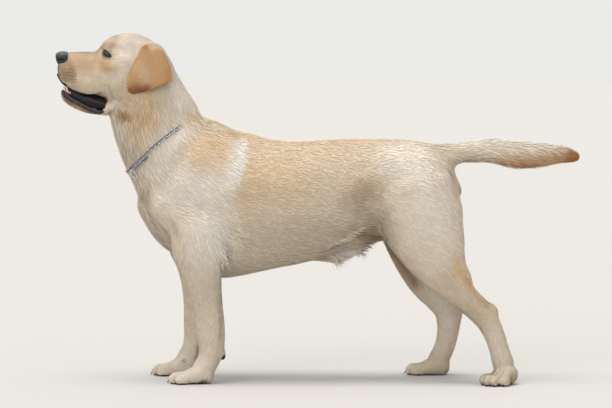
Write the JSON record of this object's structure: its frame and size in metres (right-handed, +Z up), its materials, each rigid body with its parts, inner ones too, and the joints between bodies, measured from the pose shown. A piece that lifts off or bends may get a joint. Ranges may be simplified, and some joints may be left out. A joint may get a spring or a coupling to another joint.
{
  "type": "standing labrador retriever dog",
  "caption": "Life-size standing retriever in a still show pose, head up, mouth slightly open, tail straight back, wearing a chain collar.",
  "frame": {"origin": "on the floor, under the middle of the dog's bounding box", "axes": "+X towards the tail, so the dog faces -X; +Y towards the dog's right side; +Z up"},
  "size_m": [1.1557, 0.3158, 0.7654],
  "materials": {
    "coat_gold": "short dense pale gold fur",
    "coat_cream": "short dense cream fur",
    "coat_ginger": "short ginger fur",
    "nose_leather": "moist pebbled black skin",
    "mouth": "wet pink tongue",
    "eye": "wet dark brown eye",
    "chain": "polished steel chain"
  },
  "bodies": {
    "root": {"head": "coat_gold", "lower_jaw": "coat_cream", "neck": "coat_cream", "trunk": "coat_gold", "tail": "coat_gold", "foreleg_left": "coat_cream", "foreleg_right": "coat_cream", "hindleg_left": "coat_cream", "hindleg_right": "coat_cream", "ear_left": "coat_ginger", "ear_right": "coat_ginger", "nose": "nose_leather", "tongue": "mouth", "eye_left": "eye", "eye_right": "eye", "collar_chain": "chain", "collar_ring": "chain"}
  },
  "joints": []
}
